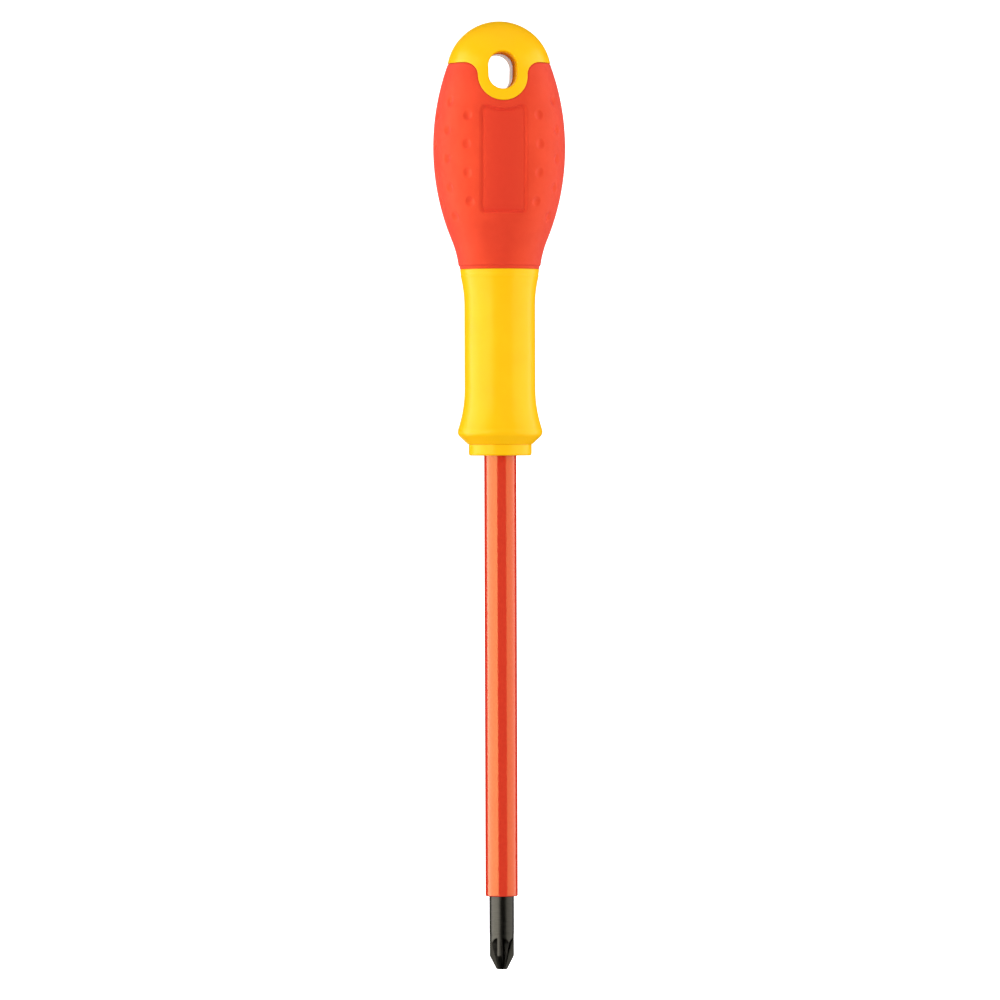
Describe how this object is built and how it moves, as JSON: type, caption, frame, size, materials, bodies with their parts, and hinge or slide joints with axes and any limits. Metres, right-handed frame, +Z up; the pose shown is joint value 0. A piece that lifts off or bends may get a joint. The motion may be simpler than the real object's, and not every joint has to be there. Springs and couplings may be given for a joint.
{
  "type": "insulated screwdriver",
  "caption": "Insulated electrician's screwdriver with a ribbed cross tip, sleeved steel blade, bulged two-colour handle, flared finger guard and a hanging eyelet.",
  "frame": {"origin": "centre of the blade's blunt tip end, the lowest point of the tool", "axes": "+Z up the tool's axis from the tip to the domed head, -Y out of the front of the handle (the side with the recessed panel that the picture shows), +X to the viewer's right"},
  "size_m": [0.0322, 0.0314, 0.2307],
  "materials": {
    "blade_steel": "dark oxide over fine turning marks, satin",
    "sleeve_red": "smooth moulded nylon, glossy",
    "core_yellow": "hard moulded plastic, satin gloss",
    "shell_yellow": "hard moulded plastic, satin gloss",
    "grip_red": "soft moulded elastomer, fine matt texture"
  },
  "bodies": {
    "root": {"blade": "blade_steel", "blade_sleeve": "sleeve_red", "handle_core": "core_yellow", "handle_shell": "shell_yellow", "grip": "grip_red"}
  },
  "joints": []
}
